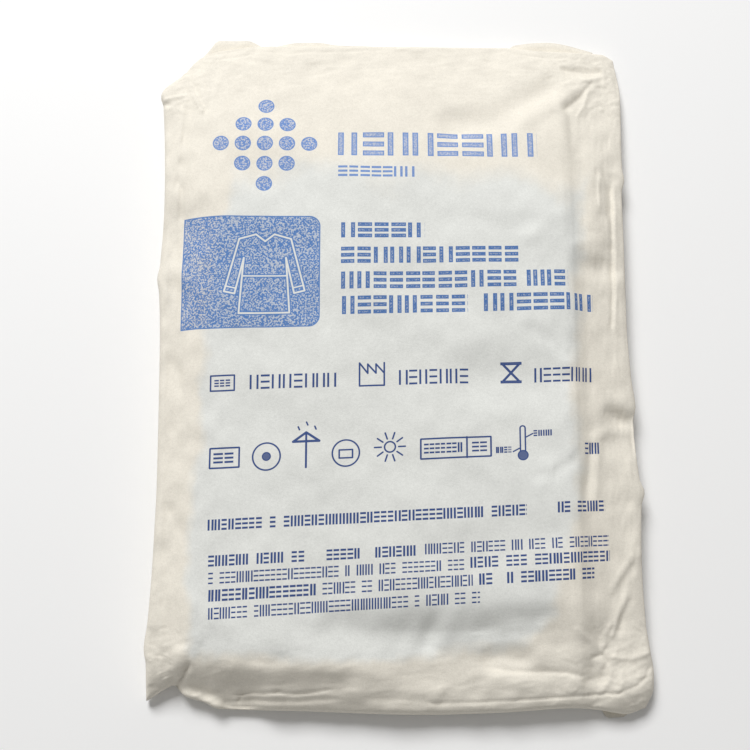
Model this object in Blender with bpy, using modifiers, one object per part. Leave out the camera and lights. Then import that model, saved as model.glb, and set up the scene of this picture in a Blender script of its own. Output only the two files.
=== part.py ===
"""A sealed sterile pouch of medical paper with a folded surgical gown inside, lying on its back sheet.

The pouch is a flat paper tube. Its front sheet domes over the folded gown and comes down to a fold
all round. The side folds float half way up the filled tube, so the back sheet lies flat under the gown
and rises to meet them, and the two sealed ends of the tube are folded behind it. X runs across the
pouch, Y along it towards the opening end and Z up from the surface it rests on. The origin is in the
middle of the underside.

Tables are in millimetres, as they would be measured on the pouch. MM turns them into metres.
"""

import math
from collections import namedtuple

import bmesh
import bpy
from mathutils import Vector

MM = 0.001

# Driving sizes, in millimetres.
HALF_WIDTH = 120.0  # side fold to side fold is 240
BOTTOM = -171.5  # the bottom fold
TOP = 168.5  # the top fold
PAPER = 1.0  # modelled wall of each sheet
SEAM_GAP = 0.4  # clear gap between neighbouring pieces
UNDER_FOLD = 1.6  # how far the back sheet's underside stays below the front sheet's edge
END_FOLD_HEIGHT = 3.9  # of the front sheet's edge at both ends, where the tube is flat
LIP = 1.6  # upright roll of paper at the fold
LIP_WIDTH = 0.6
PLATEAU = 26.0  # top of the front sheet over the folded gown
EDGE_REACH = 28.0  # how far in an uneven edge is felt by the sheet
PLAIN_RIM = 4.0  # width of the rim in which the largest folds die out
BACK_SIDE_RISE = 26.0  # width of the back sheet's borders that rise to the side folds
BACK_END_RISE = 12.0  # and to the end folds
BACK_CURVE = 1.4  # how that rise steepens: 1 would be straight

# Where each fold of the pouch really runs, against the plain 240 by 340 rectangle.
Edge = namedtuple("Edge", "along place")
LEFT_EDGE = [  # along is y, place is x
    Edge(-171.5, -121.4),
    Edge(-150, -121.6),
    Edge(-141, -122.6),
    Edge(-128, -120.8),
    Edge(-100, -119.0),
    Edge(-59, -118.0),
    Edge(4, -118.5),
    Edge(33, -119.7),
    Edge(41, -120.9),
    Edge(48, -119.7),
    Edge(78, -118.5),
    Edge(134, -121.2),
    Edge(140, -122.8),
    Edge(168.5, -110.5),
]
RIGHT_EDGE = [
    Edge(-171.5, 119.0),
    Edge(-161, 123.0),
    Edge(-154, 123.2),
    Edge(-141, 121.4),
    Edge(-128, 119.4),
    Edge(-100, 118.2),
    Edge(-73, 119.0),
    Edge(-66, 120.8),
    Edge(-60, 118.6),
    Edge(-31, 116.4),
    Edge(-24, 117.8),
    Edge(-10, 116.2),
    Edge(20, 114.8),
    Edge(86, 114.8),
    Edge(94, 116.6),
    Edge(100, 115.7),
    Edge(139, 116.6),
    Edge(168.5, 114.0),
]
BOTTOM_EDGE = [  # along is x, place is y
    Edge(-120, -165.8),
    Edge(-116, -163.4),
    Edge(-111, -160.2),
    Edge(-107.5, -158.6),
    Edge(-102, -163.6),
    Edge(-93, -166.6),
    Edge(-86, -169.6),
    Edge(-46, -170.7),
    Edge(12, -172.4),
    Edge(49, -171.4),
    Edge(86, -169.3),
    Edge(97, -170.2),
    Edge(110, -172.0),
    Edge(120, -169.0),
]
TOP_EDGE = [
    Edge(-120, 153.5),
    Edge(-108, 162.6),
    Edge(-92, 166.6),
    Edge(-68, 169.3),
    Edge(55, 168.4),
    Edge(78, 166.4),
    Edge(112, 164.6),
    Edge(120, 161.0),
]

# The side folds float half way up the filled tube and come down to the flat ends.
FoldHeight = namedtuple("FoldHeight", "along height")
SIDE_FOLD = [
    FoldHeight(-171.5, END_FOLD_HEIGHT),
    FoldHeight(-150, 6.0),
    FoldHeight(-120, 10.0),
    FoldHeight(-80, 11.5),
    FoldHeight(60, 11.5),
    FoldHeight(100, 9.5),
    FoldHeight(135, 6.5),
    FoldHeight(168.5, END_FOLD_HEIGHT),
]

# How the front sheet climbs from the lip at each fold, share 0, to the plateau over the gown, share 1.
Rise = namedtuple("Rise", "inward share")
RIGHT_RISE = [  # a slack brim, then a shoulder against the gown
    Rise(0, 0.0),
    Rise(3, 0.12),
    Rise(12, 0.27),
    Rise(22, 0.46),
    Rise(27, 0.57),
    Rise(31, 0.75),
    Rise(34, 0.91),
    Rise(38, 0.99),
    Rise(44, 1.0),
]
LEFT_RISE = [  # an upright roll and a level strip, then the side of the gown
    Rise(0, 0.0),
    Rise(0.6, 0.19),
    Rise(1.5, 0.37),
    Rise(3, 0.48),
    Rise(8, 0.56),
    Rise(12, 0.66),
    Rise(17, 0.85),
    Rise(22, 0.965),
    Rise(31, 1.0),
]
BOTTOM_LEFT_RISE = [  # tight over the gown, then steeper and steeper down to the fold
    Rise(0, 0.0),
    Rise(0.6, 0.15),
    Rise(1.5, 0.25),
    Rise(5.5, 0.42),
    Rise(8, 0.52),
    Rise(12, 0.68),
    Rise(17, 0.82),
    Rise(22, 0.905),
    Rise(27, 0.95),
    Rise(34, 0.985),
    Rise(44, 1.0),
]
BOTTOM_RIGHT_RISE = [  # slack: a shoulder against the gown's end, then a nearly level brim
    Rise(0, 0.0),
    Rise(0.6, 0.14),
    Rise(1.5, 0.29),
    Rise(3, 0.37),
    Rise(8, 0.46),
    Rise(17, 0.53),
    Rise(27, 0.58),
    Rise(38, 0.66),
    Rise(44, 0.78),
    Rise(54, 0.96),
    Rise(63, 1.0),
]
BOTTOM_CHANGE = (-35.0, 15.0)  # from the tight part of the bottom end to the slack part
TOP_RISE = [
    Rise(0, 0.0),
    Rise(3, 0.03),
    Rise(12, 0.13),
    Rise(27, 0.31),
    Rise(44, 0.50),
    Rise(54, 0.61),
    Rise(72, 0.78),
    Rise(90, 0.89),
    Rise(108, 0.95),
    Rise(126, 0.985),
    Rise(144, 1.0),
]

# The largest folds of the front sheet: ridges stand up and valleys have a negative height.
Fold = namedtuple("Fold", "name height width path")
FOLDS = [
    Fold("opening corner crease", -2.6, 6, [(-112, 152), (-106, 141), (-101, 130)]),
    Fold("opening corner ridge", 1.6, 5, [(-118, 138), (-108, 139)]),
    Fold("left shoulder, top", 1.5, 6, [(-109, 136), (-111, 112), (-110, 88)]),
    Fold("left upper dimple", -1.4, 6, [(-112, 69), (-107, 69)]),
    Fold("left lower dimple", -1.6, 7, [(-113, -75), (-104, -76)]),
    Fold("notch crease", -4.6, 6, [(-106, -158), (-100, -147), (-95, -140)]),
    Fold("notch valley", -3.4, 8, [(-93, -143), (-91, -151), (-86, -158), (-82, -166)]),
    Fold("notch lobe", 2.6, 6, [(-102, -160), (-96, -158), (-91, -164)]),
    Fold("corner ear ridge", 1.2, 5, [(-117, -148), (-114, -157)]),
    Fold("bottom crease, left", -2.4, 5, [(-76, -163), (-59, -161), (-47, -162), (-25, -160)]),
    Fold("bottom pinch", -1.4, 4, [(-58, -160), (-56, -167)]),
    Fold("bottom crease, middle", -2.0, 5, [(-29, -164), (-7, -165), (11, -164)]),
    Fold("bottom upright ridge", 1.4, 5, [(14, -165), (19, -158)]),
    Fold("right corner dent", -3.2, 8, [(89, 151), (97, 152), (104, 150)]),
    Fold("right corner ridge", 2.4, 8, [(101, 145), (94, 139), (86, 133)]),
    Fold("right corner valley", -1.8, 7, [(88, 130), (98, 133)]),
    Fold("right upper pinch", -2.2, 5, [(100, 93), (112, 93), (117, 95)]),
    Fold("right pocket fold", -1.6, 6, [(100, 72), (108, 73)]),
    Fold("right slope hollow", -1.6, 11, [(90, 68), (92, 42)]),
    Fold("slanting hollow", -1.2, 10, [(77, 66), (68, 59)]),
    Fold("right shoulder notch", -1.5, 10, [(65, 10), (80, 0)]),
    Fold("right side dent", -3.0, 8, [(110, -26), (117, -34)]),
    Fold("right shoulder valley", -1.8, 7, [(93, -29), (93, -67)]),
    Fold("bent dent", -1.6, 7, [(66, -58), (75, -61), (77, -52)]),
    Fold("right lower pinch", -2.6, 6, [(102, -107), (113, -110)]),
    Fold("right lower crease", -2.4, 5, [(101, -124), (97, -142)]),
    Fold("right corner hollow", -2.6, 9, [(87, -151), (97, -161)]),
    Fold("right corner rib", 1.6, 6, [(105, -161), (108, -154)]),
    Fold("soft ridge, left", 1.0, 11, [(10, -129), (3, -143)]),
    Fold("soft ridge, right", 1.0, 10, [(25, -126), (31, -143)]),
    Fold("soft hollow, right", -1.8, 16, [(42, -124), (66, -132)]),
    Fold("soft hollow, left", -1.0, 13, [(-18, -128), (-14, -128)]),
]

# Distances in from a fold at which the sheets have a row of points, then even steps between.
NEAR_FOLD = [0, 0.6, 1.5, 3, 5.5, 8, 12, 17, 22, 27, 31, 34, 38, 44, 54]
MIDDLE_STEP = 9.0

# The sealed ends, folded behind. They lie flat on the surface, one sheet wall thick.
FlapPoint = namedtuple("FlapPoint", "x y")
TOP_FLAP_END = 142.0  # how far in under the pouch each flap reaches
BOTTOM_FLAP_END = -155.0
TOP_FLAP = [
    FlapPoint(-99, 166),
    FlapPoint(-94, 174),
    FlapPoint(-79, 174),
    FlapPoint(-69, 170.2),
    FlapPoint(-63, 171),
    FlapPoint(-51, 173),
    FlapPoint(-42, 173),
    FlapPoint(-30, 171.5),
    FlapPoint(4, 170.5),
    FlapPoint(39, 169.4),
    FlapPoint(58, 169),
    FlapPoint(63, 171.6),
    FlapPoint(80, 173),
    FlapPoint(92, 171),
    FlapPoint(105, 167),
    FlapPoint(109, 162),
    FlapPoint(108, TOP_FLAP_END),
    FlapPoint(-106, TOP_FLAP_END),
    FlapPoint(-106, 157),
]
BOTTOM_FLAP = [
    FlapPoint(-84, -168),
    FlapPoint(-84, BOTTOM_FLAP_END),
    FlapPoint(113, BOTTOM_FLAP_END),
    FlapPoint(114, -170),
    FlapPoint(109, -173.6),
    FlapPoint(101, -174),
    FlapPoint(97, -169),
]
FLAP_TOP = PAPER + SEAM_GAP  # what the back sheet has to clear where it lies over a flap
FLAP_RAMP = 7.0  # length over which the back sheet climbs on to a flap

# The folded gown: a stack of folded layers with rounded corners.
GOWN_LEFT, GOWN_RIGHT = -101.0, 88.0
GOWN_BOTTOM, GOWN_TOP = -146.0, 112.0
GOWN_CORNER = 16.0
GOWN_LAYERS = 5
GOWN_SHOULDER = 12.0  # height at which its sides round over to its top
GOWN_BULGE = 1.5  # how far each folded layer rounds out past the groove below it
GOWN_FOOT = [6.0, 2.5]  # how far in its two lowest rings are, clear of the rising back sheet
GOWN_CLEAR = 0.5  # between the gown and the inside of the front sheet
GOWN_FEEL = 6.0  # it stays under the lowest of the sheet this far round each of its points
GOWN_ROUND = 0.85  # share of its size at which its top starts to round over
GOWN_POINTS = 64  # round its outline
GOWN_CAP = [0.97, 0.92, 0.85, 0.74, 0.6, 0.45, 0.3, 0.15]  # rings on its top, as shares of its size

PAPER_COLOUR = (0.86, 0.83, 0.77, 1.0)
PAPER_BACK_COLOUR = (0.84, 0.82, 0.77, 1.0)
GOWN_COLOUR = (0.23, 0.42, 0.62, 1.0)


def material(name, colour, roughness):
    """A plain Principled material."""
    made = bpy.data.materials.new(name)
    made.use_nodes = True
    shader = made.node_tree.nodes["Principled BSDF"]
    shader.inputs["Base Color"].default_value = colour
    shader.inputs["Roughness"].default_value = roughness
    shader.inputs["Metallic"].default_value = 0.0
    made.diffuse_color = colour
    return made


def read(rows, distance):
    """The second column of a table at this value of its first, on straight lines between its rows."""
    if distance <= rows[0][0]:
        return rows[0][1]
    for (start, low), (end, high) in zip(rows, rows[1:]):
        if distance <= end:
            return low + (high - low) * (distance - start) / (end - start)
    return rows[-1][1]


def fade(distance):
    """How much of an edge's unevenness is felt this far in from it."""
    return max(0.0, 1.0 - distance / EDGE_REACH)


def plan(u, v):
    """The place (x, y) of the point (u, v) of the flat 240 by 340 rectangle."""
    left = (read(LEFT_EDGE, v) + HALF_WIDTH) * fade(u + HALF_WIDTH)
    right = (read(RIGHT_EDGE, v) - HALF_WIDTH) * fade(HALF_WIDTH - u)
    bottom = (read(BOTTOM_EDGE, u) - BOTTOM) * fade(v - BOTTOM)
    top = (read(TOP_EDGE, u) - TOP) * fade(TOP - v)
    return u + left + right, v + bottom + top


def distance_to_path(x, y, path):
    """The distance from (x, y) to the nearest point of a run of straight lines."""
    point = Vector((x, y))
    nearest = math.inf
    for start, end in zip(path, path[1:]):
        start = Vector(start)
        run = Vector(end) - start
        share = min(1.0, max(0.0, (point - start).dot(run) / run.length_squared))
        nearest = min(nearest, (point - start - share * run).length)
    return nearest


def folds_at(x, y):
    """What the folds add to the front sheet's height here."""
    total = 0.0
    for fold in FOLDS:
        away = distance_to_path(x, y, fold.path)
        if away < fold.width:
            total += fold.height * (1 + math.cos(math.pi * away / fold.width)) / 2
    return total


def front_height(u, v):
    """The height of the front sheet's top at the point (u, v) of the flat rectangle, without folds."""
    start, end = BOTTOM_CHANGE
    slack = min(1.0, max(0.0, (u - start) / (end - start)))
    slack = slack * slack * (3 - 2 * slack)
    tight_rise, slack_rise = read(BOTTOM_LEFT_RISE, v - BOTTOM), read(BOTTOM_RIGHT_RISE, v - BOTTOM)
    share = tight_rise + slack * (slack_rise - tight_rise)
    inward = (u + HALF_WIDTH, HALF_WIDTH - u, TOP - v)
    for rise, distance in zip((LEFT_RISE, RIGHT_RISE, TOP_RISE), inward):
        share *= read(rise, distance)
    fold = read(SIDE_FOLD, v) + LIP * min(1.0, max(0.0, min(*inward, v - BOTTOM)) / LIP_WIDTH)
    return fold + share * (PLATEAU - fold)


def front_point(u, v):
    """The front sheet's top in space. Folds die out at the rim, so that it still meets the back sheet."""
    x, y = plan(u, v)
    nearest = min(u + HALF_WIDTH, HALF_WIDTH - u, v - BOTTOM, TOP - v)
    z = front_height(u, v) + folds_at(x, y) * min(1.0, nearest / PLAIN_RIM)
    return Vector((x, y, max(z, read(SIDE_FOLD, v))))


def sheet_inside(x, y):
    """The height of the front sheet's inner face over (x, y), below its top by the wall."""
    step = 0.5
    here = front_height(x, y) + folds_at(x, y)
    slope_x = (front_height(x + step, y) - front_height(x - step, y)) / (2 * step)
    slope_y = (front_height(x, y + step) - front_height(x, y - step)) / (2 * step)
    return here - PAPER * math.sqrt(1 + slope_x**2 + slope_y**2)


def back_point(u, v):
    """The back sheet's underside in space: flat, over the flaps at both ends, and risen to the folds."""
    x, y = plan(u, v)
    past_top = (y - TOP_FLAP_END + FLAP_RAMP + PAPER) / FLAP_RAMP
    past_bottom = (BOTTOM_FLAP_END - y + FLAP_RAMP + PAPER) / FLAP_RAMP
    over_flap = FLAP_TOP * min(1.0, max(0.0, past_top, past_bottom))
    side = 1.0 - min(u + HALF_WIDTH, HALF_WIDTH - u) / BACK_SIDE_RISE
    end = 1.0 - min(v - BOTTOM, TOP - v) / BACK_END_RISE
    side_height = (read(SIDE_FOLD, v) - UNDER_FOLD) * max(0.0, side) ** BACK_CURVE
    end_height = (END_FOLD_HEIGHT - UNDER_FOLD) * max(0.0, end) ** BACK_CURVE
    return Vector((x, y, max(over_flap, side_height, end_height)))


def stations(low, high, near):
    """Places of the rows of points between two folds: close together near each, even steps between."""
    inner_low, inner_high = low + near[-1], high - near[-1]
    steps = round((inner_high - inner_low) / MIDDLE_STEP)
    middle = [inner_low + (inner_high - inner_low) * i / steps for i in range(1, steps)]
    return [low + d for d in near] + middle + [high - d for d in reversed(near)]


def link(mesh_object, finish):
    """Puts an object in the pouch's collection, with its material and smooth shading."""
    mesh_object.data.materials.append(finish)
    POUCH.objects.link(mesh_object)
    return mesh_object


def sheet(name, across, along, point_at, facing_up, finish):
    """A paper sheet: a grid of points laid out by point_at, thickened away from the side it shows."""
    shape = bmesh.new()
    columns, rows = len(across) - 1, len(along) - 1
    bmesh.ops.create_grid(shape, x_segments=columns, y_segments=rows, size=0.5)
    for vert in shape.verts:
        u = across[round((vert.co.x + 0.5) * columns)]
        v = along[round((vert.co.y + 0.5) * rows)]
        vert.co = point_at(u, v) * MM
    if not facing_up:
        bmesh.ops.reverse_faces(shape, faces=shape.faces)
        flat = math.radians(0.05)  # the faces that lie on the surface become one
        bmesh.ops.dissolve_limit(shape, angle_limit=flat, verts=shape.verts, edges=shape.edges)
    mesh = bpy.data.meshes.new(name)
    shape.to_mesh(mesh)
    shape.free()
    made = link(bpy.data.objects.new(name, mesh), finish)
    wall = made.modifiers.new("paper wall", "SOLIDIFY")
    wall.thickness = PAPER * MM
    wall.offset = -1
    return made


def flap(name, outline, finish):
    """A sealed end folded flat: an outline with the thickness of the sealed paper."""
    curve = bpy.data.curves.new(name, "CURVE")
    curve.dimensions = "2D"
    curve.fill_mode = "BOTH"
    curve.extrude = PAPER / 2 * MM
    spline = curve.splines.new("POLY")
    spline.points.add(len(outline) - 1)
    for point, place in zip(spline.points, outline):
        point.co = (place.x * MM, place.y * MM, 0, 1)
    spline.use_cyclic_u = True
    made = link(bpy.data.objects.new(name, curve), finish)
    made.location.z = PAPER / 2 * MM
    return made


def gown_outline(inset):
    """Points round the folded gown's rounded rectangle, this far inside its full size."""
    radius = GOWN_CORNER
    half_x = (GOWN_RIGHT - GOWN_LEFT) / 2 - inset - radius
    half_y = (GOWN_TOP - GOWN_BOTTOM) / 2 - inset - radius
    centre = Vector(((GOWN_LEFT + GOWN_RIGHT) / 2, (GOWN_BOTTOM + GOWN_TOP) / 2, 0))
    points = []
    for index in range(GOWN_POINTS):
        angle = 2 * math.pi * (index + 0.5) / GOWN_POINTS
        toward = Vector((math.cos(angle) * (half_x + radius), math.sin(angle) * (half_y + radius)))
        reach = 1 / max(abs(toward.x) / (half_x + radius), abs(toward.y) / (half_y + radius))
        toward *= reach
        over = Vector((max(0, abs(toward.x) - half_x), max(0, abs(toward.y) - half_y)))
        if over.x > 0 and over.y > 0:
            over *= radius / over.length
            toward = Vector((
                math.copysign(half_x + over.x, toward.x),
                math.copysign(half_y + over.y, toward.y),
            ))
        points.append(centre + toward.to_3d())
    return points


def gown_cap(point, share):
    """A point of the gown's top: part of the way in to its middle, just under the front sheet."""
    centre = Vector(((GOWN_LEFT + GOWN_RIGHT) / 2, (GOWN_BOTTOM + GOWN_TOP) / 2, 0))
    placed = centre + (point - centre) * share
    around = [(0, 0), (GOWN_FEEL, 0), (-GOWN_FEEL, 0), (0, GOWN_FEEL), (0, -GOWN_FEEL)]
    under_sheet = min(sheet_inside(placed.x + dx, placed.y + dy) for dx, dy in around) - GOWN_CLEAR
    past_round = max(0.0, share - GOWN_ROUND) / (1 - GOWN_ROUND)
    rounding = math.sqrt(1 - past_round**2)
    placed.z = GOWN_SHOULDER + (under_sheet - GOWN_SHOULDER) * rounding
    return placed


def folded_gown(finish):
    """The gown as one rounded stack: a ring of points at each groove and each layer's fullest place."""
    floor = PAPER + SEAM_GAP
    rings = []
    for level in range(2 * GOWN_LAYERS + 1):
        height = floor + (GOWN_SHOULDER - floor) * level / (2 * GOWN_LAYERS)
        inset = 0.0 if level % 2 else GOWN_BULGE
        if level < len(GOWN_FOOT):
            inset = GOWN_FOOT[level]
        rings.append([point + Vector((0, 0, height)) for point in gown_outline(inset)])
    rings += [[gown_cap(point, share) for point in gown_outline(0.0)] for share in GOWN_CAP]
    shape = bmesh.new()
    loops = []
    for ring in rings:
        verts = [shape.verts.new(point * MM) for point in ring]
        loops.append([shape.edges.new((a, b)) for a, b in zip(verts, verts[1:] + verts[:1])])
    for lower, upper in zip(loops, loops[1:]):
        bmesh.ops.bridge_loops(shape, edges=lower + upper)
    bmesh.ops.holes_fill(shape, edges=loops[0] + loops[-1], sides=0)
    bmesh.ops.recalc_face_normals(shape, faces=shape.faces)
    mesh = bpy.data.meshes.new("gown")
    shape.to_mesh(mesh)
    shape.free()
    return link(bpy.data.objects.new("gown", mesh), finish)


for old in list(bpy.data.objects):
    bpy.data.objects.remove(old)
POUCH = bpy.data.collections.new("sterile gown pouch")
bpy.context.scene.collection.children.link(POUCH)

paper = material("printed paper", PAPER_COLOUR, 0.72)
back_paper = material("plain paper", PAPER_BACK_COLOUR, 0.75)
gown_cloth = material("gown fabric", GOWN_COLOUR, 0.8)

across = stations(-HALF_WIDTH, HALF_WIDTH, NEAR_FOLD)
along = stations(BOTTOM, TOP, NEAR_FOLD)
sheet("front_sheet", across, along, front_point, True, paper)
sheet("back_sheet", across, along, back_point, False, back_paper)
flap("top_flap", TOP_FLAP, back_paper)
flap("bottom_flap", BOTTOM_FLAP, back_paper)
folded_gown(gown_cloth)
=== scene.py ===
"""Looks of a sealed sterile paper pouch with a folded surgical gown inside, lying on a pale surface.

Sizes are in millimetres and MM turns them into metres. X runs across the pouch, Y along it towards the
end that is torn open and Z up from the surface. Heights and places are numpy arrays, worked out for a
whole sheet at once.
"""

import math
import random
from collections import namedtuple

import bmesh
import bpy
import numpy as np
from mathutils import Matrix, Vector


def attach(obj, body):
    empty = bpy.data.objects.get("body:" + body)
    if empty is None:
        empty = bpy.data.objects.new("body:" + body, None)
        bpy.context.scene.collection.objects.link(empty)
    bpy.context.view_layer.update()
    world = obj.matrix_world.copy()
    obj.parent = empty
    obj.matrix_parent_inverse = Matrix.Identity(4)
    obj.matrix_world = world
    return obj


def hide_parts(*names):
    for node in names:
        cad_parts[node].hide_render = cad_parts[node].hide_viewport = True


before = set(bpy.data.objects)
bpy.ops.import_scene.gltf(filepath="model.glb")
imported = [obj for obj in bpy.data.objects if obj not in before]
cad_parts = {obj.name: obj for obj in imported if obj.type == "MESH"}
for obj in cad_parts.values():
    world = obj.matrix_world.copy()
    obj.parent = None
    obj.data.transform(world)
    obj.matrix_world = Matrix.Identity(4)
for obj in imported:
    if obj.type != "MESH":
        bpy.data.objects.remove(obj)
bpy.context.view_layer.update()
MM = 0.001

# === The paper tube ===============================================================================
# Bleached medical paper, glued to a flat tube 240 mm wide. Filled with the folded gown, its side folds
# float half way up and its two ends are folded behind. The front and back sheets both take their
# places from the tables and functions here, laid out on the plain rectangle of the flat tube.

HALF_WIDTH = 120.0
BOTTOM = -171.5
TOP = 168.5
EDGE_REACH = 28.0  # how far in an uneven edge is felt

Edge = namedtuple("Edge", "along place")
LEFT_EDGE = [  # along is y, place is x
    Edge(-171.5, -121.4), Edge(-150, -121.6), Edge(-141, -122.6), Edge(-128, -120.8),
    Edge(-100, -119.0), Edge(-59, -118.0), Edge(4, -118.5), Edge(33, -119.7), Edge(41, -120.9),
    Edge(48, -119.7), Edge(78, -118.5), Edge(134, -121.2), Edge(140, -122.8), Edge(168.5, -110.5),
]
RIGHT_EDGE = [
    Edge(-171.5, 119.0), Edge(-161, 123.0), Edge(-154, 123.2), Edge(-141, 121.4), Edge(-128, 119.4),
    Edge(-100, 118.2), Edge(-73, 119.0), Edge(-66, 120.8), Edge(-60, 118.6), Edge(-31, 116.4),
    Edge(-24, 117.8), Edge(-10, 116.2), Edge(20, 114.8), Edge(86, 114.8), Edge(94, 116.6),
    Edge(100, 115.7), Edge(139, 116.6), Edge(168.5, 114.0),
]
BOTTOM_EDGE = [  # along is x, place is y
    Edge(-120, -165.8), Edge(-116, -163.4), Edge(-111, -160.2), Edge(-107.5, -158.6),
    Edge(-102, -163.6), Edge(-93, -166.6), Edge(-86, -169.6), Edge(-46, -170.7), Edge(12, -172.4),
    Edge(49, -171.4), Edge(86, -169.3), Edge(97, -170.2), Edge(110, -172.0), Edge(120, -169.0),
]
TOP_EDGE = [
    Edge(-120, 153.5), Edge(-108, 162.6), Edge(-92, 166.6), Edge(-68, 169.3), Edge(55, 168.4),
    Edge(78, 166.4), Edge(112, 164.6), Edge(120, 161.0),
]

END_FOLD_HEIGHT = 3.9
FoldHeight = namedtuple("FoldHeight", "along height")
SIDE_FOLD = [
    FoldHeight(-171.5, END_FOLD_HEIGHT), FoldHeight(-150, 6.0), FoldHeight(-120, 10.0),
    FoldHeight(-80, 11.5), FoldHeight(60, 11.5), FoldHeight(100, 9.5), FoldHeight(135, 6.5),
    FoldHeight(168.5, END_FOLD_HEIGHT),
]

# How the front sheet climbs from each fold, share 0, to the plateau over the gown, share 1.
PLATEAU = 26.0
Rise = namedtuple("Rise", "inward share")
RIGHT_RISE = [  # a slack brim, then a shoulder against the gown
    Rise(0, 0.0), Rise(3, 0.12), Rise(12, 0.27), Rise(22, 0.46), Rise(27, 0.57), Rise(31, 0.75),
    Rise(34, 0.91), Rise(38, 0.99), Rise(44, 1.0),
]
LEFT_RISE = [  # an upright roll and a level strip, then the side of the gown
    Rise(0, 0.0), Rise(0.6, 0.19), Rise(1.5, 0.37), Rise(3, 0.48), Rise(8, 0.56), Rise(12, 0.66),
    Rise(17, 0.85), Rise(22, 0.965), Rise(31, 1.0),
]
BOTTOM_LEFT_RISE = [  # tight over the gown, then steeper and steeper down to the fold
    Rise(0, 0.0), Rise(0.6, 0.15), Rise(1.5, 0.25), Rise(5.5, 0.42), Rise(8, 0.52), Rise(12, 0.68),
    Rise(17, 0.82), Rise(22, 0.905), Rise(27, 0.95), Rise(34, 0.985), Rise(44, 1.0),
]
BOTTOM_RIGHT_RISE = [  # slack: a shoulder against the gown's end, then a nearly level brim
    Rise(0, 0.0), Rise(0.6, 0.14), Rise(1.5, 0.29), Rise(3, 0.37), Rise(8, 0.46), Rise(17, 0.53),
    Rise(27, 0.58), Rise(38, 0.66), Rise(44, 0.78), Rise(54, 0.96), Rise(63, 1.0),
]
BOTTOM_CHANGE = (-35.0, 15.0)  # from the tight part of the bottom end to the slack part
TOP_RISE = [
    Rise(0, 0.0), Rise(3, 0.03), Rise(12, 0.13), Rise(27, 0.31), Rise(44, 0.50), Rise(54, 0.61),
    Rise(72, 0.78), Rise(90, 0.89), Rise(108, 0.95), Rise(126, 0.985), Rise(144, 1.0),
]

# The back sheet lies flat under the gown, climbs on to the folded ends and rises to the folds.
UNDER_FOLD = 1.6  # it stays this far below the front sheet's edge
BACK_SIDE_RISE = 26.0
BACK_END_RISE = 12.0
BACK_CURVE = 1.4
FLAP_TOP = 1.4
FLAP_RAMP = 8.0
TOP_FLAP_END = 142.0
BOTTOM_FLAP_END = -155.0


def read(rows, places):
    """The second column of a table at these values of its first, on a smooth curve through its rows."""
    at = np.array([row[0] for row in rows], float)
    value = np.array([row[1] for row in rows], float)
    run = np.diff(at)
    slope = np.diff(value) / run
    tangent = np.concatenate([slope[:1], np.zeros(len(slope) - 1), slope[-1:]])
    before, after = slope[:-1], slope[1:]
    steady = before * after > 0
    tangent[1:-1][steady] = 2 * before[steady] * after[steady] / (before + after)[steady]
    cell = np.clip(np.searchsorted(at, places) - 1, 0, len(run) - 1)
    share = np.clip((places - at[cell]) / run[cell], 0, 1)
    rest = 1 - share
    start = (1 + 2 * share) * rest**2 * value[cell] + share * rest**2 * run[cell] * tangent[cell]
    end = (1 + 2 * rest) * share**2 * value[cell + 1] - rest * share**2 * run[cell] * tangent[cell + 1]
    return start + end


def inward_of(u, v):
    """How far the points (u, v) of the flat tube are in from each fold: left, right, bottom and top."""
    return u + HALF_WIDTH, HALF_WIDTH - u, v - BOTTOM, TOP - v


def plan(u, v):
    """Where the points (u, v) of the flat tube lie, seen from above."""
    left, right, bottom, top = [np.clip(1 - inward / EDGE_REACH, 0, 1) for inward in inward_of(u, v)]
    x = u + (read(LEFT_EDGE, v) + HALF_WIDTH) * left + (read(RIGHT_EDGE, v) - HALF_WIDTH) * right
    y = v + (read(BOTTOM_EDGE, u) - BOTTOM) * bottom + (read(TOP_EDGE, u) - TOP) * top
    return x, y


def domed(u, v):
    """The height of the front sheet over the folded gown, before it rolls over its folds or creases."""
    left, right, bottom, top = inward_of(u, v)
    slack = np.clip((u - BOTTOM_CHANGE[0]) / (BOTTOM_CHANGE[1] - BOTTOM_CHANGE[0]), 0, 1)
    slack = slack**2 * (3 - 2 * slack)
    share = read(BOTTOM_LEFT_RISE, bottom) * (1 - slack) + read(BOTTOM_RIGHT_RISE, bottom) * slack
    share = share * read(LEFT_RISE, left) * read(RIGHT_RISE, right) * read(TOP_RISE, top)
    fold = read(SIDE_FOLD, v)
    return fold + share * (PLATEAU - fold)


def laid_back(u, v):
    """The height of the back sheet's underside."""
    _, y = plan(u, v)
    left, right, bottom, top = inward_of(u, v)
    climb = np.maximum(y - TOP_FLAP_END, BOTTOM_FLAP_END - y) / FLAP_RAMP + 1
    side = np.clip(1 - np.minimum(left, right) / BACK_SIDE_RISE, 0, 1) ** BACK_CURVE
    end = np.clip(1 - np.minimum(bottom, top) / BACK_END_RISE, 0, 1) ** BACK_CURVE
    return np.maximum.reduce([
        FLAP_TOP * np.clip(climb, 0, 1),
        (read(SIDE_FOLD, v) - UNDER_FOLD) * side,
        (END_FOLD_HEIGHT - UNDER_FOLD) * end,
    ])


# A crease is a run of straight lines on the pouch. Its height is negative in a valley. sharp goes from
# 0, a soft swell, to 1, a pressed crease, and lean from -1 to 1 puts the swell to one side of the line.
Crease = namedtuple("Crease", "name height width path sharp lean", defaults=(0.0, 0.0))


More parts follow.
